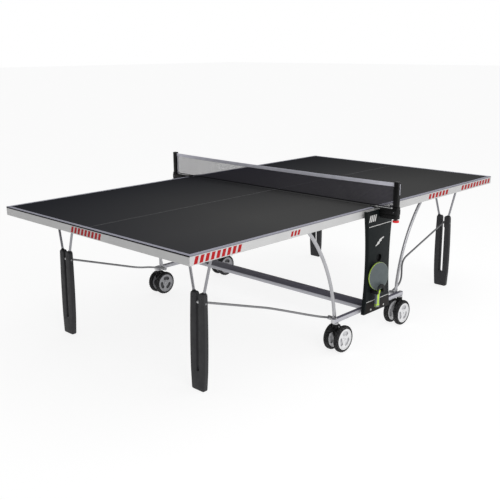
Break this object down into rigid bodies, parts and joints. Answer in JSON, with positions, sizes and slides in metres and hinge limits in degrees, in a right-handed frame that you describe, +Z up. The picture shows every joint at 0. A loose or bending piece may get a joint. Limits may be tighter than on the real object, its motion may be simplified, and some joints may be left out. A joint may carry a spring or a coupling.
{
  "type": "ping pong table",
  "caption": "Folding ping pong table with a net on clamped posts, slotted leg pads, curved stays and a wheeled chassis with waisted side panels.",
  "frame": {"origin": "on the floor under the middle of the net", "axes": "+X along the playing length, +Y across the table along the net, +Z up; the side with the bat is at -Y"},
  "size_m": [2.74, 1.83, 0.9145],
  "materials": {
    "laminate": "smooth dark grey playing surface, slightly satin",
    "grey_paint": "pale grey satin paint",
    "silver_paint": "silver-grey satin paint",
    "zinc_steel": "bright zinc plating",
    "pad_plastic": "dark grey grained plastic",
    "panel_plastic": "near-black satin plastic",
    "black_plastic": "black grained plastic",
    "red_plastic": "bright red plastic",
    "tyre_rubber": "black rubber tyre round a pale plastic hub",
    "net_fabric": "fine open mesh",
    "tape_fabric": "pale woven tape",
    "bat_rubber": "matt grey rubber",
    "bat_grip": "lime plastic"
  },
  "bodies": {
    "chassis": {"cross_beam": "silver_paint", "net": "net_fabric", "net_tape": "tape_fabric", "near_rail": "silver_paint", "near_side_panel": "panel_plastic", "near_net_bracket": "black_plastic", "near_net_post": "black_plastic", "near_left_guide_track": "zinc_steel", "near_right_guide_track": "zinc_steel", "far_rail": "silver_paint", "far_side_panel": "panel_plastic", "far_net_bracket": "black_plastic", "far_net_post": "black_plastic", "far_left_guide_track": "zinc_steel", "far_right_guide_track": "zinc_steel"},
    "left_carriage": {"near_left_fold_pin": "zinc_steel", "far_left_fold_pin": "zinc_steel"},
    "left_half": {"left_board": "laminate", "left_frame": "grey_paint"},
    "left_arms": {"near_left_arm": "zinc_steel", "far_left_arm": "zinc_steel"},
    "left_legs": {"near_left_leg_frame": "zinc_steel", "near_left_leg_pad": "pad_plastic", "far_left_leg_frame": "zinc_steel", "far_left_leg_pad": "pad_plastic"},
    "left_rods": {"near_left_leg_rod": "zinc_steel", "far_left_leg_rod": "zinc_steel"},
    "left_lever": {"left_release_lever": "black_plastic"},
    "near_left_caster": {"near_left_caster_fork": "black_plastic"},
    "near_left_inner_wheel": {"near_left_inner_wheel": "tyre_rubber"},
    "near_left_outer_wheel": {"near_left_outer_wheel": "tyre_rubber"},
    "near_left_brake": {"near_left_brake_pedal": "black_plastic"},
    "far_left_caster": {"far_left_caster_fork": "black_plastic"},
    "far_left_inner_wheel": {"far_left_inner_wheel": "tyre_rubber"},
    "far_left_outer_wheel": {"far_left_outer_wheel": "tyre_rubber"},
    "right_carriage": {"near_right_fold_pin": "zinc_steel", "far_right_fold_pin": "zinc_steel"},
    "right_half": {"right_board": "laminate", "right_frame": "grey_paint"},
    "right_arms": {"near_right_arm": "zinc_steel", "far_right_arm": "zinc_steel"},
    "right_legs": {"near_right_leg_frame": "zinc_steel", "near_right_leg_pad": "pad_plastic", "far_right_leg_frame": "zinc_steel", "far_right_leg_pad": "pad_plastic"},
    "right_rods": {"near_right_leg_rod": "zinc_steel", "far_right_leg_rod": "zinc_steel"},
    "right_lever": {"right_release_lever": "black_plastic"},
    "near_right_caster": {"near_right_caster_fork": "black_plastic"},
    "near_right_inner_wheel": {"near_right_inner_wheel": "tyre_rubber"},
    "near_right_outer_wheel": {"near_right_outer_wheel": "tyre_rubber"},
    "far_right_caster": {"far_right_caster_fork": "black_plastic"},
    "far_right_inner_wheel": {"far_right_inner_wheel": "tyre_rubber"},
    "far_right_outer_wheel": {"far_right_outer_wheel": "tyre_rubber"},
    "far_right_brake": {"far_right_brake_pedal": "black_plastic"},
    "near_knob": {"near_tension_knob": "red_plastic"},
    "far_knob": {"far_tension_knob": "red_plastic"},
    "bat": {"bat_blade": "bat_rubber", "bat_handle": "bat_grip"}
  },
  "joints": [
    {"name": "left_carriage_slide", "type": "slide", "parent": "chassis", "child": "left_carriage", "axis": [0, 0, -1], "range_m": [0, 0.46312]},
    {"name": "left_fold", "type": "hinge", "parent": "left_carriage", "child": "left_half", "pos_m": [-0.086, 0, 0.745], "axis": [0, 1, 0], "range_deg": [0, 90]},
    {"name": "left_arms_swing", "type": "hinge", "parent": "left_half", "child": "left_arms", "pos_m": [-0.555, 0, 0.728], "axis": [0, 1, 0], "range_deg": [-46.19, 0]},
    {"name": "left_legs_swing", "type": "hinge", "parent": "left_half", "child": "left_legs", "pos_m": [-1.125, 0, 0.73], "axis": [0, 1, 0], "range_deg": [-78.73, 0]},
    {"name": "left_rods_swing", "type": "hinge", "parent": "left_legs", "child": "left_rods", "pos_m": [-1.13594, 0, 0.448], "axis": [0, 1, 0], "range_deg": [0, 69.58]},
    {"name": "left_lever_pull", "type": "hinge", "parent": "left_half", "child": "left_lever", "pos_m": [-1.338, 0, 0.7245], "axis": [0, 1, 0], "range_deg": [0, 20], "stiffness_Nm_per_rad": 0.5, "springref_deg": -17.19},
    {"name": "near_left_caster_swivel", "type": "hinge", "parent": "chassis", "child": "near_left_caster", "pos_m": [-0.315, -0.748, 0.1667], "axis": [0, 0, 1], "continuous": true},
    {"name": "near_left_inner_wheel_spin", "type": "hinge", "parent": "near_left_caster", "child": "near_left_inner_wheel", "pos_m": [-0.29, -0.748, 0.075], "axis": [0, 1, 0], "continuous": true},
    {"name": "near_left_outer_wheel_spin", "type": "hinge", "parent": "near_left_caster", "child": "near_left_outer_wheel", "pos_m": [-0.29, -0.748, 0.075], "axis": [0, 1, 0], "continuous": true},
    {"name": "near_left_brake_press", "type": "hinge", "parent": "near_left_caster", "child": "near_left_brake", "pos_m": [-0.3375, -0.748, 0.138], "axis": [0, -1, 0], "range_deg": [0, 12], "stiffness_Nm_per_rad": 0.6, "springref_deg": -11.46},
    {"name": "far_left_caster_swivel", "type": "hinge", "parent": "chassis", "child": "far_left_caster", "pos_m": [-0.315, 0.748, 0.1667], "axis": [0, 0, 1], "continuous": true},
    {"name": "far_left_inner_wheel_spin", "type": "hinge", "parent": "far_left_caster", "child": "far_left_inner_wheel", "pos_m": [-0.29, 0.748, 0.075], "axis": [0, 1, 0], "continuous": true},
    {"name": "far_left_outer_wheel_spin", "type": "hinge", "parent": "far_left_caster", "child": "far_left_outer_wheel", "pos_m": [-0.29, 0.748, 0.075], "axis": [0, 1, 0], "continuous": true},
    {"name": "right_carriage_slide", "type": "slide", "parent": "chassis", "child": "right_carriage", "axis": [0, 0, -1], "range_m": [0, 0.46312]},
    {"name": "right_fold", "type": "hinge", "parent": "right_carriage", "child": "right_half", "pos_m": [0.086, 0, 0.745], "axis": [0, -1, 0], "range_deg": [0, 90]},
    {"name": "right_arms_swing", "type": "hinge", "parent": "right_half", "child": "right_arms", "pos_m": [0.555, 0, 0.728], "axis": [0, -1, 0], "range_deg": [-46.19, 0]},
    {"name": "right_legs_swing", "type": "hinge", "parent": "right_half", "child": "right_legs", "pos_m": [1.125, 0, 0.73], "axis": [0, -1, 0], "range_deg": [-78.73, 0]},
    {"name": "right_rods_swing", "type": "hinge", "parent": "right_legs", "child": "right_rods", "pos_m": [1.13594, 0, 0.448], "axis": [0, -1, 0], "range_deg": [0, 69.58]},
    {"name": "right_lever_pull", "type": "hinge", "parent": "right_half", "child": "right_lever", "pos_m": [1.338, 0, 0.7245], "axis": [0, -1, 0], "range_deg": [0, 20], "stiffness_Nm_per_rad": 0.5, "springref_deg": -17.19},
    {"name": "near_right_caster_swivel", "type": "hinge", "parent": "chassis", "child": "near_right_caster", "pos_m": [0.315, -0.748, 0.1667], "axis": [0, 0, 1], "continuous": true},
    {"name": "near_right_inner_wheel_spin", "type": "hinge", "parent": "near_right_caster", "child": "near_right_inner_wheel", "pos_m": [0.29, -0.748, 0.075], "axis": [0, 1, 0], "continuous": true},
    {"name": "near_right_outer_wheel_spin", "type": "hinge", "parent": "near_right_caster", "child": "near_right_outer_wheel", "pos_m": [0.29, -0.748, 0.075], "axis": [0, 1, 0], "continuous": true},
    {"name": "far_right_caster_swivel", "type": "hinge", "parent": "chassis", "child": "far_right_caster", "pos_m": [0.315, 0.748, 0.1667], "axis": [0, 0, 1], "continuous": true},
    {"name": "far_right_inner_wheel_spin", "type": "hinge", "parent": "far_right_caster", "child": "far_right_inner_wheel", "pos_m": [0.29, 0.748, 0.075], "axis": [0, 1, 0], "continuous": true},
    {"name": "far_right_outer_wheel_spin", "type": "hinge", "parent": "far_right_caster", "child": "far_right_outer_wheel", "pos_m": [0.29, 0.748, 0.075], "axis": [0, 1, 0], "continuous": true},
    {"name": "far_right_brake_press", "type": "hinge", "parent": "far_right_caster", "child": "far_right_brake", "pos_m": [0.3375, 0.748, 0.138], "axis": [0, 1, 0], "range_deg": [0, 12], "stiffness_Nm_per_rad": 0.6, "springref_deg": -11.46},
    {"name": "near_knob_turn", "type": "hinge", "parent": "chassis", "child": "near_knob", "pos_m": [0, -0.897, 0.6925], "axis": [0, 0, 1], "range_deg": [-180, 180]},
    {"name": "far_knob_turn", "type": "hinge", "parent": "chassis", "child": "far_knob", "pos_m": [0, 0.897, 0.6925], "axis": [0, 0, 1], "range_deg": [-180, 180]},
    {"name": "bat_lift", "type": "slide", "parent": "chassis", "child": "bat", "axis": [0, 0, 1], "range_m": [0, 0.12]}
  ],
  "couplings": [
    {"joint": "left_carriage_slide", "follows": "left_fold", "m_per_rad": 0.29451},
    {"joint": "left_arms_swing", "follows": "left_fold", "ratio": -0.51215},
    {"joint": "left_legs_swing", "follows": "left_fold", "ratio": -0.87364},
    {"joint": "left_rods_swing", "follows": "left_fold", "ratio": 0.77199},
    {"joint": "right_carriage_slide", "follows": "right_fold", "m_per_rad": 0.29451},
    {"joint": "right_arms_swing", "follows": "right_fold", "ratio": -0.51215},
    {"joint": "right_legs_swing", "follows": "right_fold", "ratio": -0.87364},
    {"joint": "right_rods_swing", "follows": "right_fold", "ratio": 0.77199}
  ]
}
